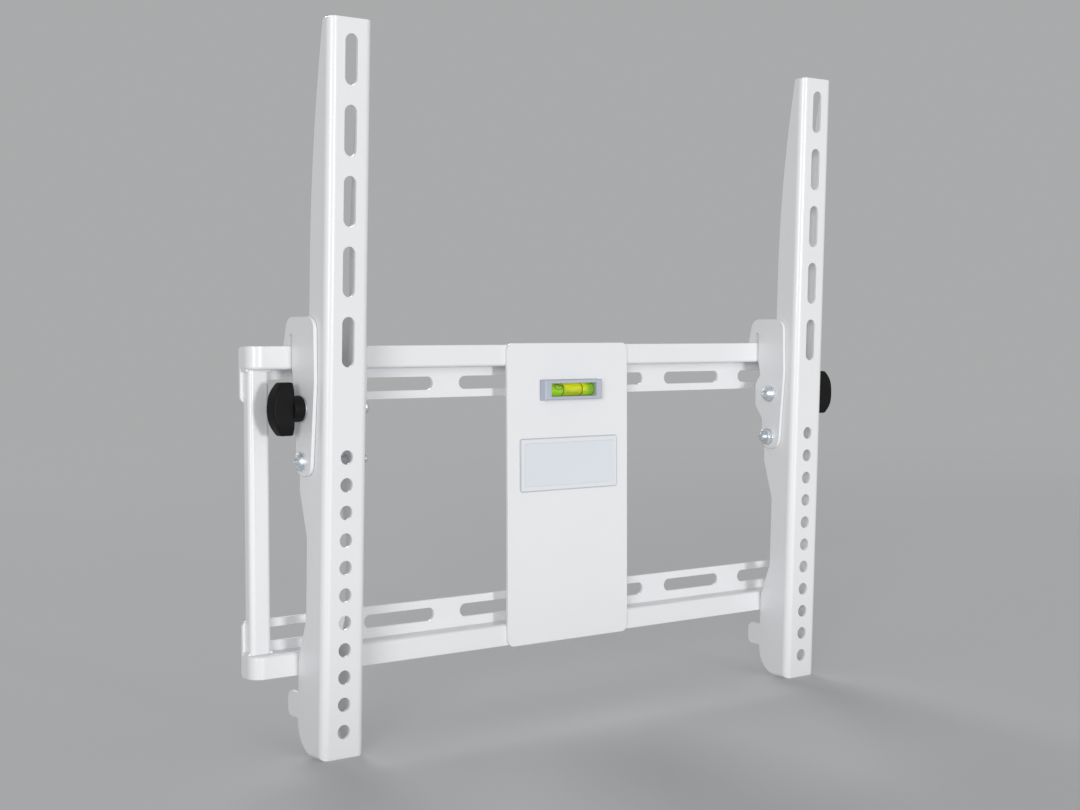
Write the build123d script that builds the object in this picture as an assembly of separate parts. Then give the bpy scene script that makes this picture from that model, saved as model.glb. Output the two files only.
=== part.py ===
from build123d import *
import os
from math import atan2, cos, degrees, hypot, radians, tan

# Tilting wall bracket for a flat screen: a slotted wall plate with two rails, and two arms that
# hang on the upper rail by hook plates, slide along it and tilt about a pivot bolt.
# X runs along the wall, +Y into the wall and +Z up. The origin is the centre of the wall plate,
# on the wall face. Sizes are millimetres and angles are degrees.

# Rails
RAIL_LENGTH = 486.0
RAIL_HEIGHT = 201.0
RAIL_DEPTH = 15.5
RAIL_SHEET = 2.0
RAIL_END_RADIUS = 8.0
RAIL_BEND_RADIUS = 2.0
RAIL_TIP_RADIUS = 3.0
LIP_HEIGHT = 14.2
FLANGE_HEIGHT = 20.1
FLANGE_CORNER = 4.0

# Wall slots in the rail flanges
WALL_SLOT_LENGTH = 54.0
WALL_SLOT_WIDTH = 8.6
WALL_SLOT_FIRST = 54.0
WALL_SLOTS_PER_HALF = 3
WALL_SLOT_END = 12.0
WALL_SLOT_EDGE = 9.5

# Uprights between the rails
UPRIGHT_WIDTH = 14.2
UPRIGHT_DEPTH = 7.0
UPRIGHT_SHEET = 1.5
UPRIGHT_RADIUS = 3.0
UPRIGHT_INSET = 2.2

# Centre plate with its spirit level and bare badge
PLATE_WIDTH = 105.5
PLATE_OVERHANG = 1.0
PLATE_SHEET = 2.0
PLATE_CORNER = 5.0
LEVEL_LENGTH = 50.0
LEVEL_HEIGHT = 13.5
LEVEL_DEPTH = 14.0
LEVEL_PROUD = 6.0
LEVEL_RISE = 69.8
LEVEL_EDGE = 0.8
LEVEL_FIT = 0.15
VIAL_DIAMETER = 8.5
VIAL_LENGTH = 39.0
VIAL_WALL = 0.8
VIAL_SETBACK = 1.4
VIAL_FIT = 0.25
BUBBLE_LENGTH = 7.0
BUBBLE_WIDTH = 4.0
BUBBLE_SHIFT = -12.0
BADGE_WIDTH = 85.0
BADGE_HEIGHT = 36.0
BADGE_THICKNESS = 1.2
BADGE_CORNER = 2.0
BADGE_RISE = 19.5
BADGE_RIM = 3.5
BADGE_PANEL_DEPTH = 0.3

# Arms
ARM_SPACING = 400.0
ARM_SHIFT = 2.5
ARM_TILT = 2.0
TILT_TRAVEL = 10.0
ARM_WIDTH = 30.0
ARM_SHEET = 2.0
ARM_BEND_RADIUS = 5.0
ARM_TOP = 260.0
ARM_END_CORNER = 2.5
ARM_TOP_DEPTH = 8.5
ARM_TOP_ROUND = 3.0
ARM_WAIST_DEPTH = 20.5
ARM_LOBE_DEPTH = 29.5
ARM_LOBE_OVER = 16.7
ARM_LOBE_UNDER = 18.3
LOBE_UPPER_RAMP = 17.0
LOBE_LOWER_RAMP = 28.0
ARM_TAPER_START = 115.0
FOOT_HEIGHT = 21.0
FOOT_RAMP = 25.0
FOOT_ROUND = 19.5
RAMP_ROUND = 9.0
CATCH_DROP = 11.0
CATCH_HEIGHT = 16.0
CATCH_LENGTH = 12.0
CATCH_ROUND = 4.5
HEEL_DROP = 20.8
ARM_HOLE_DIAMETER = 8.6
ARM_HOLE_PITCH = 50.0 / 3.0
ARM_HOLE_COUNT = 11
ARM_SLOT_LENGTH = 30.0
ARM_SLOT_WIDTH = 8.6
ARM_SLOT_PITCH = 41.65
ARM_SLOT_COUNT = 5
ARM_SLOT_RISE = 69.0

# Pivot and tilt fasteners
PIVOT_OFFSET = 11.0
PIVOT_RISE = 31.0
PIVOT_DEPTH = 22.8
PIVOT_TO_HOLE = 3.7
TILT_BOLT_RISE = 32.0
TILT_BOLT_FORWARD = 1.2
BOLT_DIAMETER = 6.0
WASHER_DIAMETER = 12.0
WASHER_THICKNESS = 1.6
HEAD_DIAMETER = 10.5
HEAD_HEIGHT = 3.3
ROUND_HEAD_HEIGHT = 5.0
HEAD_SOCKET = 4.0
HEAD_SOCKET_DEPTH = 2.0
NUT_FLATS = 10.0
NUT_HEIGHT = 3.2
BOLT_STICK_OUT = 3.5
BOLT_END_CHAMFER = 0.6
SLEEVE_DIAMETER = 10.0
SLEEVE_LENGTH = 2.0
COLLAR_LENGTH = 5.0

# Hook plates
HOOK_SHEET = 2.5
HOOK_RISE = 17.8
NOTCH_RISE = 7.4
TAIL_BACK = 2.5
HOOK_TOP_BACK = 10.0
HOOK_FRONT = 26.0
HOOK_TOP_FRONT = 25.5
HOOK_FRONT_RISE = 17.0
HOOK_FOOT_FRONT = 9.5
HOOK_FOOT_BACK = 7.2
HOOK_FOOT_DROP = 8.9
HOOK_NECK_RISE = 13.0
HOOK_NECK_BACK = 6.8
LOBE_BACK = 13.7
LOBE_UNDER = 9.0
LOBE_OVER = 7.0
HOOK_DIP = 2.2
HOOK_DIP_RISE = 14.0
HOOK_LIP_RISE = 23.0
HOOK_ROUND = 8.0
LOBE_ROUND = 5.0
TAIL_ROUND = 2.0
NOTCH_ROUND = 1.2

# Wing knobs
KNOB_LENGTH = 32.0
KNOB_WIDTH = 10.5
KNOB_HEIGHT = 14.5
KNOB_CROWN = 6.5
KNOB_WAIST = 9.6
KNOB_ROUND = 1.6
HUB_DIAMETER = 16.0
HUB_LENGTH = 6.0
INSERT_DIAMETER = 8.0
INSERT_LENGTH = 12.0

# Clearances
SIDE_GAP = 0.2
NOTCH_GAP = 0.3
HANG_GAP = 0.1
REST_GAP = 0.2
PIVOT_RUN = 0.06
BOLT_FIT = 0.15
SLOT_RUN = 0.25
THREAD_RUN = 0.08
KNOB_GAP = 0.2

# Levels and planes worked out from the sizes above
LIP_EDGE = RAIL_HEIGHT / 2
WEB_UNDER = LIP_EDGE - LIP_HEIGHT
WEB_OVER = WEB_UNDER + RAIL_SHEET
FLANGE_EDGE = WEB_UNDER - FLANGE_HEIGHT
WALL_SLOT_LEVEL = FLANGE_EDGE + WALL_SLOT_EDGE
WALL_SLOT_LAST = RAIL_LENGTH / 2 - WALL_SLOT_END - WALL_SLOT_LENGTH / 2
WALL_SLOT_PITCH = (WALL_SLOT_LAST - WALL_SLOT_FIRST) / (WALL_SLOTS_PER_HALF - 1)
PLATE_HEIGHT = RAIL_HEIGHT + 2 * PLATE_OVERHANG
LIP_FRONT = -RAIL_DEPTH
LIP_BACK = LIP_FRONT + RAIL_SHEET
PLATE_FRONT = LIP_FRONT - PLATE_SHEET
PIVOT_Y = LIP_FRONT - PIVOT_OFFSET
TILT_BOLT_LEVEL = PIVOT_RISE + TILT_BOLT_RISE
TILT_BOLT_Y = PIVOT_Y - TILT_BOLT_FORWARD
ARM_CENTRE = ARM_SPACING / 2
ARM_UPPER_END = PIVOT_TO_HOLE + ARM_TOP
CATCH_TOP = -(LIP_EDGE + PIVOT_RISE + CATCH_DROP)
CATCH_BOTTOM = CATCH_TOP - CATCH_HEIGHT
ARM_LOWER_END = CATCH_BOTTOM - HEEL_DROP
FLANGE_OUTSIDE = ARM_WIDTH / 2
NEAR_INSIDE = FLANGE_OUTSIDE + SIDE_GAP
NEAR_OUTSIDE = NEAR_INSIDE + HOOK_SHEET
FAR_INSIDE = NEAR_INSIDE + SLEEVE_LENGTH
FAR_OUTSIDE = FAR_INSIDE + HOOK_SHEET
KNOB_END = HUB_LENGTH + KNOB_HEIGHT
BOLT_RADIUS = BOLT_DIAMETER / 2


def rounded_face(corners):
    """Closed face from (x, y, radius) corners."""
    points = [(x, y) for x, y, radius in corners]
    radii = [radius for x, y, radius in corners]
    return make_face(FilletPolyline(*points, radius=radii, close=True))


def washer(start):
    """Plain washer round the X axis, lying outward from the given plane."""
    ring = Circle(WASHER_DIAMETER / 2) - Circle(BOLT_RADIUS + BOLT_FIT)
    return extrude(Plane.YZ.offset(start) * ring, WASHER_THICKNESS)


def sleeve(start, length):
    """Spacer sleeve round the X axis, lying outward from the given plane."""
    ring = Circle(SLEEVE_DIAMETER / 2) - Circle(BOLT_RADIUS + BOLT_FIT)
    return extrude(Plane.YZ.offset(start) * ring, length)


def domed_head(height):
    """Domed screw head on the YZ plane, rising along +X, with a hexagon socket."""
    radius = HEAD_DIAMETER / 2
    rim = height / 4
    side = Polyline((0, height), (0, 0), (radius, 0), (radius, rim))
    dome = TangentArc((0, height), (radius, rim), tangent=(1, 0))
    head = revolve(Plane.XZ * make_face(side + dome), Axis.Z)
    socket = Pos(0, 0, height) * RegularPolygon(HEAD_SOCKET / 2, 6, major_radius=False)
    head -= extrude(socket, -HEAD_SOCKET_DEPTH)
    return Rot(0, 90, 0) * head


def bolt(start, end, head_height):
    """Headed bolt along +X: the head's seat lies at start and the chamfered tip at end."""
    shank = extrude(Plane.YZ.offset(start) * Circle(BOLT_RADIUS), end - start)
    shank = chamfer(shank.faces().sort_by(Axis.X)[-1].edges(), BOLT_END_CHAMFER)
    head = Pos(start, 0, 0) * Rot(0, 0, 180) * domed_head(head_height)
    return shank + head


def rail():
    """Upper rail: slotted wall flange, web and upright lip that wraps round both ends."""
    plan = Pos(0, -RAIL_DEPTH / 2) * Rectangle(RAIL_LENGTH, RAIL_DEPTH)
    plan = fillet(plan.vertices().group_by(Axis.Y)[0], RAIL_END_RADIUS)
    tray = extrude(Pos(0, 0, WEB_UNDER) * plan, LIP_HEIGHT)
    under = tray.faces().sort_by(Axis.Z)[0]
    back_edge = under.edges().sort_by(Axis.Y)[-1]
    tray = fillet(under.edges() - [back_edge], RAIL_BEND_RADIUS)

    inside_depth = RAIL_DEPTH - RAIL_SHEET
    trough = Pos(0, -inside_depth / 2) * Rectangle(RAIL_LENGTH - 2 * RAIL_SHEET, inside_depth)
    trough = fillet(trough.vertices().group_by(Axis.Y)[0], RAIL_END_RADIUS - RAIL_SHEET)
    tray -= extrude(Pos(0, 0, WEB_OVER) * trough, LIP_HEIGHT)
    tips = tray.edges().filter_by(Axis.X).group_by(Axis.Z)[-1].group_by(Axis.Y)[-1]
    tray = fillet(tips, RAIL_TIP_RADIUS)

    flange_height = WEB_OVER - FLANGE_EDGE
    flange = Pos(0, FLANGE_EDGE + flange_height / 2) * Rectangle(RAIL_LENGTH, flange_height)
    flange = fillet(flange.vertices().group_by(Axis.Y)[0], FLANGE_CORNER)
    for index in range(WALL_SLOTS_PER_HALF):
        centre = WALL_SLOT_FIRST + index * WALL_SLOT_PITCH
        for side in (-1, 1):
            flange -= Pos(side * centre, WALL_SLOT_LEVEL) * SlotOverall(WALL_SLOT_LENGTH, WALL_SLOT_WIDTH)
    return tray + extrude(Plane.XZ * flange, RAIL_SHEET)


def upright():
    """Left upright: a channel that stands on both flanges between the webs, open to the wall."""
    centre = -RAIL_LENGTH / 2 + UPRIGHT_INSET + UPRIGHT_WIDTH / 2
    outside = Rectangle(UPRIGHT_WIDTH, UPRIGHT_DEPTH, align=(Align.CENTER, Align.MAX))
    outside = fillet(outside.vertices().group_by(Axis.Y)[0], UPRIGHT_RADIUS)
    inside = Rectangle(
        UPRIGHT_WIDTH - 2 * UPRIGHT_SHEET, UPRIGHT_DEPTH - UPRIGHT_SHEET, align=(Align.CENTER, Align.MAX)
    )
    inside = fillet(inside.vertices().group_by(Axis.Y)[0], UPRIGHT_RADIUS - UPRIGHT_SHEET)
    section = Pos(centre, -RAIL_SHEET, -WEB_UNDER) * (outside - inside)
    return extrude(section, 2 * WEB_UNDER)


def centre_plate():
    """Cover plate on the front of both lips, cut out for the spirit level."""
    face = RectangleRounded(PLATE_WIDTH, PLATE_HEIGHT, PLATE_CORNER)
    face -= Pos(0, LEVEL_RISE) * Rectangle(LEVEL_LENGTH + 2 * LEVEL_FIT, LEVEL_HEIGHT + 2 * LEVEL_FIT)
    return extrude(Plane.XZ.offset(-LIP_FRONT) * face, PLATE_SHEET)


def level_pieces():
    """Level housing with its front window, the clear vial in it, and the liquid with a bubble."""
    front = PLATE_FRONT - LEVEL_PROUD
    body = Pos(0, front + LEVEL_DEPTH / 2, LEVEL_RISE) * Box(LEVEL_LENGTH, LEVEL_DEPTH, LEVEL_HEIGHT)
    body = fillet(body.faces().sort_by(Axis.Y)[0].edges(), LEVEL_EDGE)
    vial_radius = VIAL_DIAMETER / 2
    axis_y = front + VIAL_SETBACK + vial_radius
    along = Pos(0, axis_y, LEVEL_RISE) * Rot(0, 90, 0)
    bed_radius = vial_radius + VIAL_FIT
    bed_length = VIAL_LENGTH + 2 * VIAL_FIT
    body -= along * Cylinder(bed_radius, bed_length)
    window_depth = axis_y - front
    body -= Pos(0, front + window_depth / 2, LEVEL_RISE) * Box(bed_length, window_depth, 2 * bed_radius)

    vial = Cylinder(vial_radius, VIAL_LENGTH)
    hollow = Cylinder(vial_radius - VIAL_WALL, VIAL_LENGTH - 2 * VIAL_WALL)
    bubble_rise = vial_radius - VIAL_WALL - BUBBLE_WIDTH / 2
    bubble_length = BUBBLE_LENGTH - BUBBLE_WIDTH
    bubble = Cylinder(BUBBLE_WIDTH / 2, bubble_length)
    for end in (-1, 1):
        bubble += Pos(0, 0, end * bubble_length / 2) * Sphere(BUBBLE_WIDTH / 2)
    bubble_place = Pos(BUBBLE_SHIFT, axis_y, LEVEL_RISE + bubble_rise) * Rot(0, 90, 0)
    return body, along * (vial - hollow), along * hollow - bubble_place * bubble


def badge_plate():
    """Bare badge with a raised rim round a shallow panel."""
    blank = RectangleRounded(BADGE_WIDTH, BADGE_HEIGHT, BADGE_CORNER)
    panel = Rectangle(BADGE_WIDTH - 2 * BADGE_RIM, BADGE_HEIGHT - 2 * BADGE_RIM)
    seat = Plane.XZ.offset(-PLATE_FRONT) * Pos(0, BADGE_RISE)
    badge = extrude(seat * blank, BADGE_THICKNESS)
    badge = fillet(badge.faces().sort_by(Axis.Y)[0].edges(), BADGE_THICKNESS / 2)
    return badge - extrude(seat * Pos(0, 0, BADGE_THICKNESS - BADGE_PANEL_DEPTH) * panel, BADGE_THICKNESS)


def foot_depth():
    """How far behind the pivot the arm's foot lies, so that it meets the lower lip's free edge."""
    lean = tan(radians(ARM_TILT)) * (LIP_EDGE + PIVOT_RISE)
    return (PIVOT_OFFSET - REST_GAP - lean) * cos(radians(ARM_TILT))


def arm_outline():
    """Side view of an upright arm about its pivot: y towards the wall, z up."""
    front = -PIVOT_DEPTH
    top = ARM_UPPER_END
    bottom = ARM_LOWER_END
    top_back = ARM_TOP_DEPTH - PIVOT_DEPTH
    waist = ARM_WAIST_DEPTH - PIVOT_DEPTH
    lobe = ARM_LOBE_DEPTH - PIVOT_DEPTH
    foot = foot_depth()
    taper_start = PIVOT_TO_HOLE + ARM_TAPER_START
    lobe_top = TILT_BOLT_RISE + ARM_LOBE_OVER
    neck_top = lobe_top + LOBE_UPPER_RAMP
    lobe_bottom = -ARM_LOBE_UNDER
    waist_top = lobe_bottom - LOBE_LOWER_RAMP
    catch_tip = foot + CATCH_LENGTH
    foot_top = CATCH_TOP + FOOT_HEIGHT
    waist_bottom = foot_top + FOOT_RAMP
    taper = TangentArc((waist, taper_start), (top_back, top), tangent=(0, 1))
    rest = Polyline(
        (top_back, top),
        (front, top),
        (front, bottom),
        (foot, bottom),
        (foot, CATCH_BOTTOM),
        (catch_tip, CATCH_BOTTOM),
        (catch_tip, CATCH_TOP),
        (foot, CATCH_TOP),
        (foot, foot_top),
        (waist, waist_bottom),
        (waist, waist_top),
        (lobe, lobe_bottom),
        (lobe, lobe_top),
        (waist, neck_top),
        (waist, taper_start),
    )
    face = make_face(rest + taper)
    rounds = [
        (top_back, top, ARM_TOP_ROUND),
        (foot, bottom, FOOT_ROUND),
        (catch_tip, CATCH_BOTTOM, CATCH_ROUND),
        (catch_tip, CATCH_TOP, CATCH_ROUND),
        (foot, foot_top, RAMP_ROUND),
        (waist, waist_bottom, RAMP_ROUND),
        (waist, waist_top, RAMP_ROUND),
        (lobe, lobe_bottom, RAMP_ROUND),
        (lobe, lobe_top, RAMP_ROUND),
        (waist, neck_top, RAMP_ROUND),
    ]
    for y, z, radius in rounds:
        face = fillet(face.vertices().sort_by_distance((y, z))[0], radius)
    return face


def arm_channel():
    """Arm: a folded channel about the pivot, with screw holes in front and slots in its flanges."""
    length = ARM_UPPER_END - ARM_LOWER_END
    outline = Plane.YZ * arm_outline()
    channel = extrude(outline, FLANGE_OUTSIDE, both=True)
    front_edges = channel.faces().sort_by(Axis.Y)[0].edges().filter_by(Axis.Z)
    channel = fillet(front_edges, ARM_BEND_RADIUS)

    depth = ARM_LOBE_DEPTH + CATCH_LENGTH
    inside = Rectangle(ARM_WIDTH - 2 * ARM_SHEET, depth, align=(Align.CENTER, Align.MIN))
    inside = fillet(inside.vertices().group_by(Axis.Y)[0], ARM_BEND_RADIUS - ARM_SHEET)
    inside = Pos(0, ARM_SHEET - PIVOT_DEPTH, ARM_LOWER_END) * inside
    channel -= extrude(inside, length)

    front_view = Pos(0, ARM_LOWER_END + length / 2) * RectangleRounded(ARM_WIDTH, length, ARM_END_CORNER)
    channel &= extrude(Plane.XZ * front_view, depth, both=True)

    cuts = Sketch()
    for index in range(ARM_HOLE_COUNT):
        cuts += Pos(0, PIVOT_TO_HOLE - index * ARM_HOLE_PITCH) * Circle(ARM_HOLE_DIAMETER / 2)
    for index in range(ARM_SLOT_COUNT):
        level = PIVOT_TO_HOLE + ARM_SLOT_RISE + index * ARM_SLOT_PITCH
        cuts += Pos(0, level) * SlotOverall(ARM_SLOT_LENGTH, ARM_SLOT_WIDTH, rotation=90)
    channel -= extrude(Plane.XZ * cuts, PIVOT_DEPTH)

    bolt_angle = degrees(atan2(TILT_BOLT_RISE, -TILT_BOLT_FORWARD))
    bolt_reach = hypot(TILT_BOLT_FORWARD, TILT_BOLT_RISE)
    arc = CenterArc((0, 0), bolt_reach, bolt_angle - ARM_TILT, TILT_TRAVEL)
    flange_cuts = Circle(BOLT_RADIUS + PIVOT_RUN) + SlotArc(arc, BOLT_DIAMETER + 2 * SLOT_RUN)
    channel -= extrude(Plane.YZ * flange_cuts, ARM_WIDTH, both=True)
    return Rot(ARM_TILT, 0, 0) * channel


def hook_plate():
    """Hook plate on the YZ plane: its tail hangs behind the lip and stands on the web."""
    notch_top = LIP_EDGE + NOTCH_RISE
    top = LIP_EDGE + HOOK_RISE
    tail_front = LIP_BACK + NOTCH_GAP
    lip_side = LIP_FRONT - NOTCH_GAP
    tail_end = WEB_OVER + HANG_GAP
    foot = PIVOT_RISE - HOOK_FOOT_DROP
    corners = [
        (-TAIL_BACK, tail_end, TAIL_ROUND),
        (-HOOK_TOP_BACK, top, HOOK_ROUND),
        (LIP_FRONT - HOOK_TOP_FRONT, top, HOOK_ROUND),
        (LIP_FRONT - HOOK_FRONT, TILT_BOLT_LEVEL + HOOK_FRONT_RISE, HOOK_ROUND),
        (PIVOT_Y - HOOK_FOOT_FRONT, foot, HOOK_ROUND),
        (PIVOT_Y + HOOK_FOOT_BACK, foot, HOOK_ROUND),
        (PIVOT_Y + HOOK_NECK_BACK, PIVOT_RISE + HOOK_NECK_RISE, LOBE_ROUND),
        (PIVOT_Y + LOBE_BACK, TILT_BOLT_LEVEL - LOBE_UNDER, LOBE_ROUND),
        (PIVOT_Y + LOBE_BACK, TILT_BOLT_LEVEL + LOBE_OVER, LOBE_ROUND),
        (lip_side - HOOK_DIP, TILT_BOLT_LEVEL + HOOK_DIP_RISE, LOBE_ROUND),
        (lip_side, TILT_BOLT_LEVEL + HOOK_LIP_RISE, LOBE_ROUND),
        (lip_side, notch_top, NOTCH_ROUND),
        (tail_front, notch_top, NOTCH_ROUND),
        (tail_front, tail_end, TAIL_ROUND),
    ]
    face = rounded_face(corners)
    for place in ((PIVOT_Y, PIVOT_RISE), (TILT_BOLT_Y, TILT_BOLT_LEVEL)):
        face -= Pos(*place) * Circle(BOLT_RADIUS + BOLT_FIT)
    return extrude(Plane.YZ * face, HOOK_SHEET)


def knob():
    """Wing knob along +X on the tilt bolt: a hub, two crowned wings and a bore for the insert."""
    half = KNOB_LENGTH / 2
    side = KNOB_WIDTH / 2
    waist = KNOB_WAIST / 2
    bow = ThreePointArc((side, half - side), (waist, 0), (side, side - half))
    tip = ThreePointArc((side, side - half), (0, -half), (-side, side - half))
    back = ThreePointArc((-side, side - half), (-waist, 0), (-side, half - side))
    crest = ThreePointArc((-side, half - side), (0, half), (side, half - side))
    wing = extrude(Plane.YZ.offset(HUB_LENGTH) * make_face(bow + tip + back + crest), KNOB_HEIGHT)
    shoulder = KNOB_END - KNOB_CROWN
    crown = ThreePointArc((shoulder, half), (KNOB_END, 0), (shoulder, -half))
    sides = Polyline((shoulder, -half), (HUB_LENGTH, -half), (HUB_LENGTH, half), (shoulder, half))
    wing &= extrude(Plane.XZ * make_face(crown + sides), KNOB_LENGTH, both=True)
    wing = fillet(wing.faces().sort_by(Axis.X)[-1].edges(), KNOB_ROUND)
    hub = extrude(Plane.YZ * Circle(HUB_DIAMETER / 2), HUB_LENGTH)
    bore = extrude(Plane.YZ * Circle(INSERT_DIAMETER / 2), INSERT_LENGTH)
    return wing + hub - bore


def knob_insert():
    """Threaded insert moulded into the knob's hub."""
    ring = Circle(INSERT_DIAMETER / 2) - Circle(BOLT_RADIUS + THREAD_RUN)
    return extrude(Plane.YZ * ring, INSERT_LENGTH)


def pivot_nut():
    """Hexagon nut on the inner end of the pivot bolt."""
    hexagon = RegularPolygon(NUT_FLATS / 2, 6, major_radius=False) - Circle(BOLT_RADIUS)
    return extrude(Plane.YZ * hexagon, NUT_HEIGHT)


def arm_pieces(out):
    """Pieces of one arm by name. The knob's side, out, is -1 on the left arm and 1 on the right one."""
    arm = Pos(ARM_SHIFT + out * ARM_CENTRE, 0, 0)
    pivot = arm * Pos(0, PIVOT_Y, PIVOT_RISE)
    tilt = arm * Pos(0, TILT_BOLT_Y, TILT_BOLT_LEVEL)
    plate = arm * hook_plate()
    plates = {-1: Pos(-NEAR_OUTSIDE, 0, 0) * plate, 1: Pos(FAR_INSIDE, 0, 0) * plate}
    reach = {-1: NEAR_OUTSIDE, 1: FAR_OUTSIDE}
    facing = {-1: Rot(0, 0, 180), 1: Rot(0, 0, 0)}
    outward = facing[out]
    inward = facing[-out]
    pivot_seat = {side: reach[side] + WASHER_THICKNESS for side in (-1, 1)}
    tilt_seat = {-1: NEAR_OUTSIDE + WASHER_THICKNESS, 1: FAR_OUTSIDE + COLLAR_LENGTH}
    pivot_end = pivot_seat[-out] + NUT_HEIGHT + BOLT_STICK_OUT
    hub_start = tilt_seat[out] + KNOB_GAP
    hub = tilt * outward * Pos(hub_start, 0, 0)
    return {
        "arm_channel": pivot * arm_channel(),
        "inner_hook_plate": plates[-out],
        "outer_hook_plate": plates[out],
        "pivot_bolt": pivot * inward * bolt(-pivot_seat[out], pivot_end, HEAD_HEIGHT),
        "pivot_nut": pivot * inward * Pos(pivot_seat[-out], 0, 0) * pivot_nut(),
        "pivot_washers": Compound([pivot * facing[side] * washer(reach[side]) for side in (-1, 1)]),
        "pivot_sleeve": pivot * sleeve(NEAR_INSIDE, SLEEVE_LENGTH),
        "tilt_bolt": tilt * outward * bolt(-tilt_seat[-out], hub_start + INSERT_LENGTH, ROUND_HEAD_HEIGHT),
        "tilt_washer": tilt * facing[-1] * washer(NEAR_OUTSIDE),
        "tilt_sleeve": tilt * sleeve(NEAR_INSIDE, SLEEVE_LENGTH),
        "tilt_collar": tilt * sleeve(FAR_OUTSIDE, COLLAR_LENGTH),
        "tilt_knob": hub * knob(),
        "knob_insert": hub * knob_insert(),
    }


upper_rail = rail()
left_upright = upright()
level_body, level_vial, level_liquid = level_pieces()
pieces = {
    "upper_rail": upper_rail,
    "lower_rail": mirror(upper_rail, Plane.XY),
    "left_upright": left_upright,
    "right_upright": mirror(left_upright, Plane.YZ),
    "centre_plate": centre_plate(),
    "level_body": level_body,
    "level_vial": level_vial,
    "level_liquid": level_liquid,
    "badge_plate": badge_plate(),
}
for side, out in (("left_", -1), ("right_", 1)):
    for name, solid in arm_pieces(out).items():
        pieces[side + name] = solid

os.makedirs("parts", exist_ok=True)
for name, solid in pieces.items():
    export_step(solid, os.path.join("parts", name + ".step"))
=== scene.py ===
from math import cos, pi, radians, sqrt

import bmesh
import bpy
from mathutils import Euler, Matrix, Vector


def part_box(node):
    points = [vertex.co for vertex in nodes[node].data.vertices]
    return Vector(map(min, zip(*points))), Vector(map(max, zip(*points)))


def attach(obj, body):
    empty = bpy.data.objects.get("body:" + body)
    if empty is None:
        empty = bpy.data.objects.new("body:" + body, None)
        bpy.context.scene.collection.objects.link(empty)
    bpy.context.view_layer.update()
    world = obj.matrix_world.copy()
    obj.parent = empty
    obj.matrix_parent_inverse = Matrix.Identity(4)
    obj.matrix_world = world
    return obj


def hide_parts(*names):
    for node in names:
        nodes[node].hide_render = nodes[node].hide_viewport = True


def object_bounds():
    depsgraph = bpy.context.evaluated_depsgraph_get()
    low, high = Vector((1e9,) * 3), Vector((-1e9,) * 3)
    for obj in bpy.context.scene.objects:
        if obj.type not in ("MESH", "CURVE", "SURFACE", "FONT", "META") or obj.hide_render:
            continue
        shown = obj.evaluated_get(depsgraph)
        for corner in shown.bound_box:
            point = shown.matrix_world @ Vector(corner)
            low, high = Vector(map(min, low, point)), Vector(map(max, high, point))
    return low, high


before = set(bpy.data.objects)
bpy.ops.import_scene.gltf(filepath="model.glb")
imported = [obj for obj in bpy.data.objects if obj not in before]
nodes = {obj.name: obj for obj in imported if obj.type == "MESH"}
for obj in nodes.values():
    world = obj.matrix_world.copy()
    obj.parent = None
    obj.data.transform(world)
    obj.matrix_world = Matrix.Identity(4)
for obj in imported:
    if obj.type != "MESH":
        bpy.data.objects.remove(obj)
cad_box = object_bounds()

# Camera of the photograph: the image is 1080 by 810 pixels
IMAGE_WIDTH = 1080
FOCAL_PIXELS = 1725.0
SENSOR_WIDTH = 36.0
NEAR_CLIP = 0.01
CAMERA_PLACE = (-0.74526, -0.92868, 0.10658)
CAMERA_PITCH = -2.307
CAMERA_HEADING = -38.321
CAMERA_ROLL = -0.14

# Studio: each lamp has a name, a place, a width in degrees and a strength
FLOOR_SIZE = 12
FLOOR_FADE = (1.0, 3.4)
LAMP_AIM = (0, 0, 0.05)
LAMPS = (
    ("key_lamp", (0.1, -2.2, 0.1), 8, 1.16),
    ("side_lamp", (-1.7, -1.5, 0.3), 22, 1.32),
    ("back_lamp", (0.6, 1.6, 0.9), 27, 0.9),
)

# Sizes and places in metres, the same as in the solids
PIVOT_Y = -0.0265
PIVOT_Z = 0.031
TILT_Y = -0.0277
TILT_Z = 0.063
BOLT_RADIUS = 0.003
HEAD_RADIUS = 0.00525
PIVOT_HEAD = 0.0033
TILT_HEAD = 0.005
SOCKET_FLATS = 0.004
SOCKET_DEPTH = 0.002
NUT_FLATS = 0.01
HUB_RADIUS = 0.008
HUB_LENGTH = 0.006
WING_WIDTH = 0.0105
LEVEL_Z = 0.0698
VIAL_RADIUS = 0.00425
WEB_UNDER = 0.0863
FLANGE_FRONT = -0.002
UPRIGHT_FRONT = -0.009
BADGE_Z = 0.0195
BADGE_HALF = (0.0425, 0.018)
BADGE_RIM = 0.0035

# Bolts and nuts
HEAD_RIM_SHARE = 0.25
HEAD_EDGE = 0.0003
DOME_STEPS = 9
SOCKET_FLARE = 0.00025
SINK_OVER = 0.0002
SOCKET_OVER = 0.002
SHANK_OVERLAP = 0.0006
THREAD_PITCH = 0.001
THREAD_LENGTH = 0.011
THREAD_RUN_OUT = 0.0015
THREAD_STEP = 0.0004
TIP_CHAMFER = 0.0005
TIP_REACH = 0.0001
HELIX_RADIUS = 0.00042
HELIX_START = 0.0004
HELIX_STEPS = 28
NUT_CHAMFER = 0.00075
TURNING_STEP = 0.00028

# Wing knob: at each share of its half length, what is left of its crown and of its width
WING_FORM = ((1.0, 0.6, 0.6), (2 / 3, 0.83, 1.0), (1 / 3, 0.96, 0.96), (0.0, 1.0, 0.91))
WING_CUTS = 5
WING_BAND = 0.0005
WING_EDGE = 0.0011
WING_EDGE_ANGLE = 42
HUB_OVERLAP = 0.0015
HUB_EDGE = 0.0008

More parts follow.
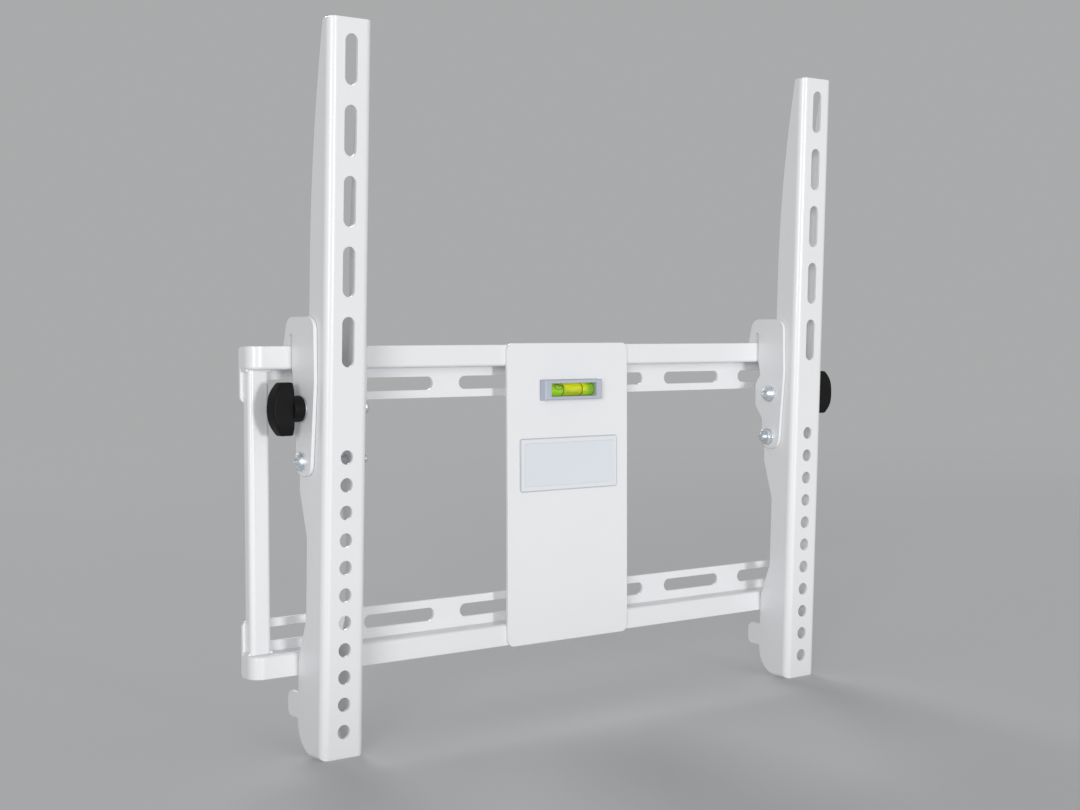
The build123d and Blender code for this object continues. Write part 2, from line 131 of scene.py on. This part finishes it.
# Spirit level: the bubble's middle and half sizes are along X and Z, and other pairs are smooth steps; the
# outline pairs place the painted shade round the bubble, and the glow pairs place the painted glow
BUBBLE = (-0.012, 0.0716)
BUBBLE_HALF = (0.0036, 0.0016)
BUBBLE_OUTLINE_IN = (0.6, 0.85)
BUBBLE_OUTLINE_OUT = (1.0, 1.2)
LIQUID_OVERLAP = 0.00002
LIQUID_END = 0.001
GLOW_MIDDLE = 0.0028
GLOW_HALF = (0.008, 0.012)
GLOW_RISE = (-0.0022, 0.0008)
DEEP_END = (0.0125, 0.0165)
MARK_PLACE = 0.0082
MARK_HALF = 0.0003
MARK_CLEARANCE = 0.00004
PAINT_THICKNESS = 0.00005

# Badge: softness of the inner line of its rim's painted highlight, and the band of painted shade on its
# outer edge
RIM_SOFTNESS = 0.0002
BADGE_EDGE_SHADE = (-0.0011, -0.0004)

# Weld beads: shares of the radius that are left in a valley and at an end, and of a step for a band
BEAD_RADIUS = 0.0017
BEAD_RIPPLES = 7
BEAD_VALLEY = 0.86
BEAD_END = 0.55
BEAD_BAND = 0.2
BEAD_FRONT_GAP = 0.0008
BEAD_BACK_GAP = 0.0004

# Meshes: sides of round pieces, and the tests for one place and for a face that looks along an axis
ROUND_SIDES = 48
FINE_SIDES = 64
BEAD_SIDES = 20
HEXAGON = 6
SAME_PLACE = 0.000001
FACING = 0.9


class Value:
    """An output socket of a shader node. Arithmetic on it adds Math nodes."""

    def __init__(self, finish, socket):
        self.finish = finish
        self.socket = socket

    def math(self, operation, *values):
        return self.finish.node("ShaderNodeMath", {"operation": operation}, dict(enumerate(values)))

    def __add__(self, other):
        return self.math("ADD", self, other)

    def __radd__(self, other):
        return self.math("ADD", other, self)

    def __sub__(self, other):
        return self.math("SUBTRACT", self, other)

    def __rsub__(self, other):
        return self.math("SUBTRACT", other, self)

    def __mul__(self, other):
        return self.math("MULTIPLY", self, other)

    def __rmul__(self, other):
        return self.math("MULTIPLY", other, self)

    def __truediv__(self, other):
        return self.math("DIVIDE", self, other)

    def __rtruediv__(self, other):
        return self.math("DIVIDE", other, self)

    def __pow__(self, other):
        return self.math("POWER", self, other)

    def __rpow__(self, other):
        return self.math("POWER", other, self)

    def __abs__(self):
        return self.math("ABSOLUTE", self)

    def sine(self):
        return self.math("SINE", self)

    def larger(self, other):
        return self.math("MAXIMUM", self, other)


class Finish:
    """A node material, or the world, under construction."""

    def __init__(self, name, kind="materials"):
        self.owner = getattr(bpy.data, kind).new(name)
        self.owner.use_nodes = True
        self.tree = self.owner.node_tree
        self.tree.nodes.clear()

    def node(self, kind, settings=None, inputs=None, output=0):
        """Adds one node: its settings first, then the values or links of its sockets."""
        node = self.tree.nodes.new(kind)
        for key, value in (settings or {}).items():
            setattr(node, key, value)
        for key, value in (inputs or {}).items():
            if isinstance(value, Value):
                self.tree.links.new(value.socket, node.inputs[key])
            else:
                node.inputs[key].default_value = value
        return Value(self, node.outputs[output]) if node.outputs else None

    def place(self):
        """The point on the surface, in metres of the bracket's frame."""
        return self.node("ShaderNodeTexCoord", output="Object")

    def axis(self, index):
        """One coordinate of that point."""
        return self.node("ShaderNodeSeparateXYZ", inputs={0: self.place()}, output=index)

    def noise(self, scale, detail):
        """Soft noise from 0 to 1, with its scale in waves per metre."""
        inputs = {"Vector": self.place(), "Scale": scale, "Detail": detail}
        return self.node("ShaderNodeTexNoise", inputs=inputs)

    def blend(self, amount, first, second):
        """Colour between first and second."""
        inputs = {0: amount, 6: first, 7: second}
        return self.node("ShaderNodeMix", {"data_type": "RGBA"}, inputs, 2)

    def ramp(self, value, low, high):
        """0 below low, 1 above high, and a smooth step between."""
        inputs = {"Value": value, "From Min": low, "From Max": high}
        return self.node("ShaderNodeMapRange", {"interpolation_type": "SMOOTHSTEP"}, inputs)

    def bump(self, height, depth, edge):
        """Normal with a relief of the given depth in metres, over edges rounded by the given radius."""
        rounded = self.node("ShaderNodeBevel", {"samples": 6}, {"Radius": edge})
        return self.node("ShaderNodeBump", inputs={"Height": height, "Distance": depth, "Normal": rounded})

    def principled(self, **inputs):
        """Principled shader whose sockets are named with _ in place of spaces."""
        sockets = {key.replace("_", " "): value for key, value in inputs.items()}
        return self.node("ShaderNodeBsdfPrincipled", inputs=sockets)

    def surface(self, **inputs):
        """Joins a Principled shader with these sockets to the output and gives the material."""
        return self.output(self.principled(**inputs))

    def output(self, shader):
        """Joins a shader to the output and gives the material."""
        self.node("ShaderNodeOutputMaterial", inputs={"Surface": shader})
        return self.owner


def white_coat():
    """Satin powder coat: faint orange peel, slow drifts of tone and a softer edge."""
    finish = Finish("white_coat")
    peel = finish.noise(scale=1500.0, detail=1.0)
    flow = finish.noise(scale=340.0, detail=2.0)
    drift = finish.noise(scale=16.0, detail=3.0)
    cloud = finish.noise(scale=70.0, detail=2.0)
    colour = finish.blend(drift, (0.765, 0.768, 0.785, 1), (0.805, 0.805, 0.812, 1))
    return finish.surface(
        Base_Color=colour,
        Roughness=0.34 + 0.12 * cloud,
        Normal=finish.bump(0.6 * peel + 0.4 * flow, depth=0.00006, edge=0.0006),
        Coat_Weight=0.3,
        Coat_Roughness=0.14,
    )


def zinc(name, y, z):
    """Bright zinc plate with turning rings round an axis along X at (y, z)."""
    finish = Finish(name)
    side = finish.axis(1) - y
    rise = finish.axis(2) - z
    radius = (side * side + rise * rise) ** 0.5
    rings = (radius * (2 * pi / TURNING_STEP)).sine()
    haze = finish.noise(scale=260.0, detail=3.0)
    film = finish.noise(scale=900.0, detail=2.0)
    colour = finish.blend(haze, (0.74, 0.81, 0.87, 1), (0.88, 0.905, 0.92, 1))
    return finish.surface(
        Base_Color=colour,
        Metallic=1.0,
        Roughness=0.32 + 0.18 * film,
        Normal=finish.bump(0.5 * rings + film, depth=0.00002, edge=0.0003),
    )


def black_plastic():
    """Moulded black plastic with a fine eroded grain."""
    finish = Finish("black_plastic")
    grain = finish.noise(scale=3200.0, detail=3.0)
    drift = finish.noise(scale=90.0, detail=2.0)
    colour = finish.blend(drift, (0.004, 0.004, 0.0045, 1), (0.008, 0.008, 0.0085, 1))
    return finish.surface(
        Base_Color=colour,
        Roughness=0.5 + 0.14 * grain,
        Specular_IOR_Level=0.15,
        Normal=finish.bump(grain, depth=0.00004, edge=0.0006),
    )


def level_plastic():
    """Pale blue-grey moulded plastic of the level's housing."""
    finish = Finish("level_plastic")
    grain = finish.noise(scale=1800.0, detail=2.0)
    drift = finish.noise(scale=60.0, detail=2.0)
    colour = finish.blend(drift, (0.42, 0.455, 0.545, 1), (0.47, 0.5, 0.575, 1))
    return finish.surface(
        Base_Color=colour,
        Roughness=0.34 + 0.1 * drift,
        Normal=finish.bump(grain, depth=0.00003, edge=0.0004),
    )


def badge_plastic():
    """Smooth pale badge, with a painted highlight that makes its raised rim a shade lighter and painted
    shade that makes its outer edge greyer.
    """
    finish = Finish("badge_plastic")
    grain = finish.noise(scale=900.0, detail=2.0)
    drift = finish.noise(scale=30.0, detail=2.0)
    beyond = abs(finish.axis(0)) - BADGE_HALF[0]
    reach = beyond.larger(abs(finish.axis(2) - BADGE_Z) - BADGE_HALF[1])
    # Painted highlight: the raised rim is drawn a shade lighter than the panel.
    rim = finish.ramp(reach, -BADGE_RIM - RIM_SOFTNESS, -BADGE_RIM + RIM_SOFTNESS)
    # Painted shade: a grey band along the badge's outer edge.
    edge = finish.ramp(reach, *BADGE_EDGE_SHADE)
    panel = finish.blend(drift, (0.68, 0.715, 0.765, 1), (0.71, 0.74, 0.785, 1))
    raised = finish.blend(rim, panel, (0.735, 0.755, 0.79, 1))
    return finish.surface(
        Base_Color=finish.blend(edge, raised, (0.5, 0.51, 0.53, 1)),
        Roughness=0.26 + 0.08 * drift,
        Normal=finish.bump(grain, depth=0.00002, edge=0.0004),
        Coat_Weight=0.2,
        Coat_Roughness=0.1,
    )


def vial_acrylic():
    """Clear acrylic with a faint moulded ripple."""
    finish = Finish("vial_acrylic")
    ripple = finish.noise(scale=420.0, detail=1.0)
    tint = finish.blend(ripple, (0.94, 1.0, 0.9, 1), (0.98, 1.0, 0.95, 1))
    return finish.surface(
        Base_Color=tint,
        Roughness=0.02 + 0.03 * ripple,
        Transmission_Weight=1.0,
        IOR=1.49,
    )


def level_liquid():
    """Lime liquid with a painted glow: yellower and lighter in its middle and upper part, greener at its
    ends, darker green at its +X end, with painted shade as a dark outline round the bubble.
    """
    finish = Finish("level_liquid")
    along = finish.axis(0)
    # Painted glow: yellower round the middle, greener away from it.
    far = finish.ramp(abs(along - GLOW_MIDDLE), *GLOW_HALF)
    deep = finish.ramp(along, *DEEP_END)
    swirl = finish.noise(scale=240.0, detail=2.0)
    # Painted glow: the upper part is yellower and lighter.
    upper = finish.ramp(finish.axis(2) - LEVEL_Z, *GLOW_RISE)
    middle = finish.blend(upper, (0.33, 0.43, 0.007, 1), (0.57, 0.59, 0.008, 1))
    body = finish.blend(far, middle, (0.27, 0.53, 0.006, 1))
    filled = finish.blend(deep, body, (0.2, 0.4, 0.008, 1))
    # Painted shade: a dark ring round the bubble, where the edge of the hollow is shaded.
    across = (along - BUBBLE[0]) / BUBBLE_HALF[0]
    rise = (finish.axis(2) - BUBBLE[1]) / BUBBLE_HALF[1]
    ring = (across * across + rise * rise) ** 0.5
    outline = finish.ramp(ring, *BUBBLE_OUTLINE_IN) * (1.0 - finish.ramp(ring, *BUBBLE_OUTLINE_OUT))
    colour = finish.blend(0.8 * outline, filled, (0.16, 0.13, 0.02, 1))
    return finish.surface(
        Base_Color=colour,
        Roughness=0.08 + 0.06 * swirl,
        # Painted glow: the liquid gives off light in its own colour, though it is no lamp.
        Emission_Color=colour,
        Emission_Strength=0.55,
    )


def mark_paint():
    """Dark green printed ring, a little worn."""
    finish = Finish("mark_paint")
    wear = finish.noise(scale=1400.0, detail=3.0)
    colour = finish.blend(wear, (0.02, 0.05, 0.008, 1), (0.06, 0.12, 0.01, 1))
    return finish.surface(Base_Color=colour, Roughness=0.4 + 0.2 * wear)


def pale_floor():
    """Plain pale studio floor that fades into the surround far from the bracket."""
    finish = Finish("pale_floor")
    drift = finish.noise(scale=1.6, detail=2.0)
    colour = finish.blend(drift, (0.6, 0.605, 0.612, 1), (0.62, 0.624, 0.63, 1))
    sheet = finish.principled(Base_Color=colour, Roughness=0.84 + 0.1 * drift, Specular_IOR_Level=0.1)
    reach = (finish.axis(0) ** 2.0 + finish.axis(1) ** 2.0) ** 0.5
    clear = finish.node("ShaderNodeBsdfTransparent")
    fade = finish.ramp(reach, *FLOOR_FADE)
    return finish.output(finish.node("ShaderNodeMixShader", inputs={0: fade, 1: sheet, 2: clear}))


def pale_surround():
    """World: a pale grey backdrop for the camera and for gloss, and an even soft light from all round."""
    finish = Finish("pale_surround", "worlds")
    seen = finish.node("ShaderNodeLightPath", output="Is Camera Ray")
    for ray in ("Is Glossy Ray", "Is Transmission Ray"):
        seen = seen.larger(finish.node("ShaderNodeLightPath", output=ray))
    soft = {"Color": (0.97, 0.985, 1.0, 1), "Strength": 0.42}
    grey = {"Color": (0.4, 0.403, 0.408, 1), "Strength": 1.0}
    light = finish.node("ShaderNodeBackground", inputs=soft)
    backdrop = finish.node("ShaderNodeBackground", inputs=grey)
    sky = finish.node("ShaderNodeMixShader", inputs={0: seen, 1: light, 2: backdrop})
    finish.node("ShaderNodeOutputWorld", inputs={"Surface": sky})
    bpy.context.scene.world = finish.owner


def dress(names, material):
    """Gives the solids of these names their material."""
    for name in names:
        slots = nodes[name].data.materials
        slots.clear()
        slots.append(material)


def adopt(name):
    """Names the primitive just added, puts its place into its mesh and gives it."""
    piece = bpy.context.object
    piece.name = name
    bpy.ops.object.transform_apply(location=True, rotation=True, scale=True)
    return piece


def turned(name, radius, start, end, y, z, sides=ROUND_SIDES):
    """Cylinder along X from start to end."""
    bpy.ops.object.select_all(action="DESELECT")
    bpy.ops.mesh.primitive_cylinder_add(
        vertices=sides,
        radius=radius,
        depth=abs(end - start),
        location=((start + end) / 2, y, z),
        rotation=(0, pi / 2, 0),
    )
    return adopt(name)


def pick_all():
    """Opens the active piece for editing with all of it selected."""
    bpy.ops.object.mode_set(mode="EDIT")
    bpy.ops.mesh.select_all(action="SELECT")


def pick(piece, kind, test):
    """Opens the piece for editing with just the points, edges or faces that pass the test.

    The test gets a point's place, an edge's middle and direction, or a face's middle and normal.
    """
    bpy.ops.object.mode_set(mode="EDIT")
    bpy.ops.mesh.select_mode(type=kind)
    bpy.ops.mesh.select_all(action="DESELECT")
    mesh = bmesh.from_edit_mesh(piece.data)
    group = {"VERT": mesh.verts, "EDGE": mesh.edges, "FACE": mesh.faces}[kind]
    for element in group:
        if kind == "VERT":
            chosen = test(element.co)
        elif kind == "EDGE":
            first, second = [vertex.co for vertex in element.verts]
            chosen = test((first + second) / 2, second - first)
        else:
            chosen = test(element.calc_center_median(), element.normal)
        if chosen:
            element.select_set(True)
    bmesh.update_edit_mesh(piece.data)


def put_down():
    """Leaves edit mode."""
    bpy.ops.object.mode_set(mode="OBJECT")


def crosswise(middle, along):
    """Test for the edges that lie across X, such as both rims of a turned piece."""
    return abs(along.x) < SAME_PLACE


def round_edges(piece, test, offset, segments):
    """Bevels the edges that pass the test."""
    pick(piece, "EDGE", test)
    bpy.ops.mesh.bevel(offset=offset, segments=segments, affect="EDGES")
    put_down()


def complete(piece, smooth=30):
    """Merges points that lie on each other and smooths all but the sharp edges."""
    bpy.ops.object.select_all(action="DESELECT")
    piece.select_set(True)
    bpy.context.view_layer.objects.active = piece
    pick_all()
    bpy.ops.mesh.remove_doubles(threshold=SAME_PLACE)
    bpy.ops.mesh.dissolve_degenerate(threshold=SAME_PLACE)
    put_down()
    bpy.ops.object.shade_smooth_by_angle(angle=radians(smooth))


def modify(piece, kind, **settings):
    """Adds a modifier with these settings and applies it."""
    bpy.context.view_layer.objects.active = piece
    modifier = piece.modifiers.new(kind.lower(), kind)
    for key, value in settings.items():
        setattr(modifier, key, value)
    bpy.ops.object.modifier_apply(modifier=modifier.name)


def cut(piece, tool, operation):
    """Cuts, keeps or joins the piece by the tool, which is used up."""
    modify(piece, "BOOLEAN", operation=operation, object=tool, solver="EXACT")
    bpy.data.objects.remove(tool)


def join(piece, other):
    """Makes the other piece part of the first."""
    bpy.ops.object.select_all(action="DESELECT")
    other.select_set(True)
    piece.select_set(True)
    bpy.context.view_layer.objects.active = piece
    bpy.ops.object.join()


def copy_to(piece, name, placing):
    """Copy with its own mesh, moved or turned by a matrix."""
    twin = piece.copy()
    twin.data = piece.data.copy()
    twin.name = name
    twin.data.transform(placing)
    bpy.context.scene.collection.objects.link(twin)
    return twin


def about_turn(from_x, to_x, y):
    """Half turn about an upright axis at y that takes the plane from_x to to_x."""
    return Matrix.Translation((from_x + to_x, 2 * y, 0)) @ Matrix.Rotation(pi, 4, "Z")


def settle(piece, body, slot, material, *stands_for):
    """Gives a finished piece its material and its body, and hides the solids that it stands for. The slot
    argument is not used.
    """
    piece.data.materials.clear()
    piece.data.materials.append(material)
    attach(piece, body)
    if stands_for:
        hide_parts(*stands_for)


def hexagon_socket(head, top, sphere, y, z):
    """Cuts a hexagon socket with a flared mouth into a head whose dome has this top and radius."""
    corner = SOCKET_FLATS / sqrt(3)
    mouth = top + sphere - sqrt(sphere**2 - corner**2)
    flare = SOCKET_FLARE + mouth - top + SINK_OVER
    sink = turned("sink", corner + flare, top - SINK_OVER, mouth + SOCKET_FLARE, y, z)
    pick(sink, "FACE", lambda middle, normal: normal.x > FACING)
    taper = corner / (corner + flare)
    bpy.ops.transform.resize(value=(1, taper, taper))
    put_down()
    cut(head, sink, "DIFFERENCE")
    socket = turned("socket", corner, top - SOCKET_OVER, top + SOCKET_DEPTH, y, z, HEXAGON)
    cut(head, socket, "DIFFERENCE")


def domed_head(name, seat, height, y, z):
    """Domed socket head that rises towards -X from its seat."""
    rim = height * HEAD_RIM_SHARE
    rise = height - rim
    sphere = (HEAD_RADIUS**2 + rise**2) / (2 * rise)
    head = turned(name, HEAD_RADIUS, seat - rim, seat, y, z)
    radius = HEAD_RADIUS
    level = 0.0
    pick(head, "FACE", lambda middle, normal: normal.x < -FACING)
    for step in range(1, DOME_STEPS):
        wide = HEAD_RADIUS * cos(pi / 2 * step / DOME_STEPS)
        high = sqrt(sphere**2 - wide**2) - (sphere - rise)
        bpy.ops.mesh.extrude_region_move(TRANSFORM_OT_translate={"value": (level - high, 0, 0)})
        scale = wide / radius
        bpy.ops.transform.resize(value=(1, scale, scale))
        radius = wide
        level = high

    def at_seat(middle, along):
        return middle.x > seat - SAME_PLACE and crosswise(middle, along)

    round_edges(head, at_seat, HEAD_EDGE, segments=2)
    hexagon_socket(head, seat - height, sphere, y, z)
    return head


def thread_helix(name, start, y, z):
    """Closed ridge of a thread that winds along +X from its start."""
    bpy.ops.object.select_all(action="DESELECT")
    bpy.ops.mesh.primitive_circle_add(
        vertices=3, radius=HELIX_RADIUS, location=(start, y, z), rotation=(pi / 2, 0, 0)
    )
    helix = bpy.context.object
    helix.name = name
    bpy.ops.object.transform_apply(location=False, rotation=True, scale=True)
    pick_all()
    bpy.ops.transform.translate(value=(HELIX_START, 0, BOLT_RADIUS - HELIX_RADIUS))
    put_down()
    modify(
        helix,
        "SCREW",
        use_merge_vertices=True,
        axis="X",
        screw_offset=THREAD_PITCH,
        iterations=round((THREAD_LENGTH - THREAD_RUN_OUT) / THREAD_PITCH),
        steps=HELIX_STEPS,
        render_steps=HELIX_STEPS,
    )
    bpy.ops.object.transform_apply(location=True, rotation=True, scale=True)
    pick_all()
    bpy.ops.mesh.fill_holes(sides=4)
    bpy.ops.mesh.normals_make_consistent(inside=False)
    put_down()
    return helix


def threaded_shank(name, start, end, y, z):
    """Plain shank that steps down to a thread's core with a chamfered tip, and the thread on it."""
    thread_start = end - THREAD_LENGTH
    shank = turned(name, BOLT_RADIUS, start, thread_start, y, z)
    pick(shank, "FACE", lambda middle, normal: normal.x > FACING)
    bpy.ops.mesh.inset(thickness=THREAD_STEP)
    bpy.ops.mesh.extrude_region_move(TRANSFORM_OT_translate={"value": (THREAD_LENGTH, 0, 0)})
    round_edges(shank, lambda middle, along: middle.x > end - TIP_REACH, TIP_CHAMFER, segments=2)
    join(shank, thread_helix(name + "_helix", thread_start, y, z))
    return shank


def socket_bolt(name, low, high, height, y, z):
    """Domed socket bolt along +X: low is the top of its head and high its tip."""
    seat = low + height
    head = domed_head(name, seat, height, y, z)
    join(head, threaded_shank(name + "_shank", seat - SHANK_OVERLAP, high, y, z))
    complete(head)
    return head


def pivot_nut(name, start, end, y, z):
    """Hexagon nut with both faces chamfered round."""
    corner = NUT_FLATS / sqrt(3)
    nut = turned(name, corner, start, end, y, z, HEXAGON)
    blank = turned("nut_blank", corner, start, end, y, z, FINE_SIDES)
    round_edges(blank, crosswise, NUT_CHAMFER, segments=1)
    cut(nut, blank, "INTERSECT")
    complete(nut)
    return nut


def wing_knob(name, start, end, y, z, length):
    """Wing knob that rises towards +X: a round hub and a smooth upright wing, crowned and waisted."""
    wing_start = start + HUB_LENGTH
    depth = end - wing_start
    bpy.ops.object.select_all(action="DESELECT")
    bpy.ops.mesh.primitive_cube_add(
        size=1, location=(wing_start + depth / 2, y, z), scale=(depth, WING_WIDTH, length)
    )
    wing = adopt(name)
    pick_all()
    bpy.ops.mesh.subdivide(number_cuts=WING_CUTS)
    for share, crown, width in WING_FORM:
        level = share * length / 2
        pick(wing, "VERT", lambda point: abs(abs(point.z - z) - level) < WING_BAND)
        bpy.ops.transform.resize(value=(crown, width, 1), center_override=(wing_start, y, z))
    put_down()
    modify(
        wing,
        "BEVEL",
        width=WING_EDGE,
        segments=3,
        limit_method="ANGLE",
        angle_limit=radians(WING_EDGE_ANGLE),
    )
    modify(wing, "SUBSURF", levels=2, render_levels=2)

    hub = turned(name + "_hub", HUB_RADIUS, start, wing_start + HUB_OVERLAP, y, z, FINE_SIDES)
    round_edges(hub, crosswise, HUB_EDGE, segments=4)
    cut(wing, hub, "UNION")
    complete(wing, smooth=40)
    return wing


def liquid_column(name, low, high):
    """Liquid that fills the vial's bore, with round ends and the bubble as a hollow in its upper front."""
    y, z = (low[1] + high[1]) / 2, (low[2] + high[2]) / 2
    radius = (high[2] - low[2]) / 2 + LIQUID_OVERLAP
    column = turned(name, radius, low[0], high[0], y, z, FINE_SIDES)
    round_edges(column, crosswise, LIQUID_END, segments=4)
    half_length, half_width = BUBBLE_HALF
    bpy.ops.object.select_all(action="DESELECT")
    bpy.ops.mesh.primitive_uv_sphere_add(
        segments=40, ring_count=20, radius=half_width, location=(BUBBLE[0], y - half_width, BUBBLE[1])
    )
    bubble = adopt("bubble")
    pick_all()
    bpy.ops.transform.resize(value=(half_length / half_width, 1, 1))
    put_down()
    cut(column, bubble, "DIFFERENCE")
    complete(column)
    return column


def vial_ring(name, middle, y, z):
    """Printed ring round the vial: a short tube with a wall as thick as paint."""
    radius = VIAL_RADIUS + MARK_CLEARANCE
    ring = turned(name, radius, middle - MARK_HALF, middle + MARK_HALF, y, z, FINE_SIDES)
    pick(ring, "FACE", lambda centre, normal: abs(normal.x) > FACING)
    bpy.ops.mesh.delete(type="FACE")
    put_down()
    modify(ring, "SOLIDIFY", thickness=PAINT_THICKNESS, offset=1.0)
    complete(ring)
    return ring


def weld_bead(name, x, z):
    """Painted-over weld in the corner between an upright's side and a web: a rippled bead along Y."""
    start = UPRIGHT_FRONT + BEAD_FRONT_GAP
    end = FLANGE_FRONT - BEAD_BACK_GAP
    bpy.ops.object.select_all(action="DESELECT")
    bpy.ops.mesh.primitive_cylinder_add(
        vertices=BEAD_SIDES,
        radius=BEAD_RADIUS,
        depth=end - start,
        location=(x, (start + end) / 2, z),
        rotation=(pi / 2, 0, 0),
    )
    bead = adopt(name)
    steps = 2 * BEAD_RIPPLES
    step = (end - start) / steps
    for index in range(1, steps):
        pick_all()
        bpy.ops.mesh.bisect(plane_co=(x, start + index * step, z), plane_no=(0, 1, 0))
    for index in range(0, steps + 1, 2):
        level = start + index * step
        pick(bead, "VERT", lambda point: abs(point.y - level) < step * BEAD_BAND)
        scale = BEAD_END if index in (0, steps) else BEAD_VALLEY
        bpy.ops.transform.resize(value=(scale, 1, scale), center_override=(x, level, z))
    put_down()
    modify(bead, "SUBSURF", levels=1, render_levels=1)
    complete(bead, smooth=60)
    return bead


def photo_camera():
    """Camera that sees the bracket as the photograph does."""
    data = bpy.data.cameras.new("photo_camera")
    data.sensor_fit = "HORIZONTAL"
    data.sensor_width = SENSOR_WIDTH
    data.lens = FOCAL_PIXELS / IMAGE_WIDTH * SENSOR_WIDTH
    data.clip_start = NEAR_CLIP
    camera = bpy.data.objects.new("photo_camera", data)
    heading = Euler((radians(90 + CAMERA_PITCH), 0, radians(CAMERA_HEADING))).to_matrix()
    turn = heading @ Matrix.Rotation(radians(CAMERA_ROLL), 3, "Z")
    camera.matrix_world = Matrix.Translation(CAMERA_PLACE) @ turn.to_4x4()
    bpy.context.scene.collection.objects.link(camera)
    bpy.context.scene.camera = camera


def soft_lamp(name, place, width, strength):
    """Soft light from the direction of a place, as wide as a studio's softbox looks from the bracket."""
    data = bpy.data.lights.new(name, "SUN")
    data.angle = radians(width)
    data.energy = strength
    lamp = bpy.data.objects.new(name, data)
    aim = (Vector(LAMP_AIM) - Vector(place)).to_track_quat("-Z", "Y")
    lamp.matrix_world = Matrix.Translation(place) @ aim.to_matrix().to_4x4()
    bpy.context.scene.collection.objects.link(lamp)


def studio():
    """Floor under the arms, the pale surround and the soft lamps."""
    bpy.ops.object.select_all(action="DESELECT")
    bpy.ops.mesh.primitive_plane_add(size=FLOOR_SIZE, location=(0, 0, cad_box[0][2]))
    floor = bpy.context.object
    floor.name = "floor"
    floor.data.materials.append(pale_floor())
    pale_surround()
    for lamp in LAMPS:
        soft_lamp(*lamp)
    bpy.context.scene.view_settings.view_transform = "Standard"


photo_camera()

# Finishes of the solids
coat = white_coat()
pivot_zinc = zinc("pivot_zinc", PIVOT_Y, PIVOT_Z)
tilt_zinc = zinc("tilt_zinc", TILT_Y, TILT_Z)
knob_black = black_plastic()
lime = level_liquid()
dress(["upper_rail", "lower_rail", "left_upright", "right_upright", "centre_plate"], coat)
for side in ("left_", "right_"):
    folded = ("arm_channel", "inner_hook_plate", "outer_hook_plate")
    on_pivot = ("pivot_bolt", "pivot_nut", "pivot_washers", "pivot_sleeve")
    on_tilt = ("tilt_bolt", "tilt_washer", "tilt_sleeve", "tilt_collar", "knob_insert")
    dress([side + word for word in folded], coat)
    dress([side + word for word in on_pivot], pivot_zinc)
    dress([side + word for word in on_tilt], tilt_zinc)
    dress([side + "tilt_knob"], knob_black)
dress(["level_body"], level_plastic())
dress(["level_vial"], vial_acrylic())
dress(["level_liquid"], lime)
dress(["badge_plate"], badge_plastic())

# Fasteners of both arms: the left pivot bolt and the right tilt bolt point to +X
left_low, left_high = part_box("left_pivot_bolt")
right_low, right_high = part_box("right_pivot_bolt")
pivot_bolt = socket_bolt("left_pivot_bolt_dressed", left_low[0], left_high[0], PIVOT_HEAD, PIVOT_Y, PIVOT_Z)
turn = about_turn(left_low[0], right_high[0], PIVOT_Y)
right_pivot_bolt = copy_to(pivot_bolt, "right_pivot_bolt_dressed", turn)
settle(pivot_bolt, "left_hanger", "zinc", pivot_zinc, "left_pivot_bolt")
settle(right_pivot_bolt, "right_hanger", "zinc", pivot_zinc, "right_pivot_bolt")

left_low, left_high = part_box("left_pivot_nut")
right_low, right_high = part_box("right_pivot_nut")
nut = pivot_nut("left_pivot_nut_dressed", left_low[0], left_high[0], PIVOT_Y, PIVOT_Z)
turn = about_turn(left_low[0], right_high[0], PIVOT_Y)
right_nut = copy_to(nut, "right_pivot_nut_dressed", turn)
settle(nut, "left_hanger", "zinc", pivot_zinc, "left_pivot_nut")
settle(right_nut, "right_hanger", "zinc", pivot_zinc, "right_pivot_nut")

left_low, left_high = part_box("left_tilt_bolt")
right_low, right_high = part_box("right_tilt_bolt")
tilt_bolt = socket_bolt("right_tilt_bolt_dressed", right_low[0], right_high[0], TILT_HEAD, TILT_Y, TILT_Z)
turn = about_turn(right_low[0], left_high[0], TILT_Y)
left_tilt_bolt = copy_to(tilt_bolt, "left_tilt_bolt_dressed", turn)
settle(tilt_bolt, "right_hanger", "zinc", tilt_zinc, "right_tilt_bolt")
settle(left_tilt_bolt, "left_hanger", "zinc", tilt_zinc, "left_tilt_bolt")

left_low, left_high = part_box("left_tilt_knob")
right_low, right_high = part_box("right_tilt_knob")
knob_length = right_high[2] - right_low[2]
knob = wing_knob("right_knob_dressed", right_low[0], right_high[0], TILT_Y, TILT_Z, knob_length)
turn = about_turn(right_low[0], left_high[0], TILT_Y)
left_knob = copy_to(knob, "left_knob_dressed", turn)
settle(knob, "right_knob", "black_plastic", knob_black, "right_tilt_knob")
settle(left_knob, "left_knob", "black_plastic", knob_black, "left_tilt_knob")

# Liquid in the vial and the printed rings on it
liquid = liquid_column("level_liquid_dressed", *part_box("level_liquid"))
settle(liquid, "wall_plate", "liquid", lime, "level_liquid")
vial_low, vial_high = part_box("level_vial")
vial_y = (vial_low[1] + vial_high[1]) / 2
paint = mark_paint()
ring = vial_ring("level_mark_left", -MARK_PLACE, vial_y, LEVEL_Z)
right_ring = copy_to(ring, "level_mark_right", Matrix.Translation((2 * MARK_PLACE, 0, 0)))
for mark in (ring, right_ring):
    settle(mark, "wall_plate", "black_plastic", paint)

# Welds in the corners between the uprights and the webs: one is modelled, and seven are its copies
upright_low, upright_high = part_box("left_upright")
bead = weld_bead("weld_left_upper_outer", upright_low[0], WEB_UNDER)
beads = [bead]
for side, sign in (("left", 1), ("right", -1)):
    for word, level in (("upper", WEB_UNDER), ("lower", -WEB_UNDER)):
        for place, x in (("outer", upright_low[0]), ("inner", upright_high[0])):
            name = f"weld_{side}_{word}_{place}"
            if name != bead.name:
                shift = (sign * x - upright_low[0], 0, level - WEB_UNDER)
                beads.append(copy_to(bead, name, Matrix.Translation(shift)))
for piece in beads:
    settle(piece, "wall_plate", "white_coat", coat)

studio()
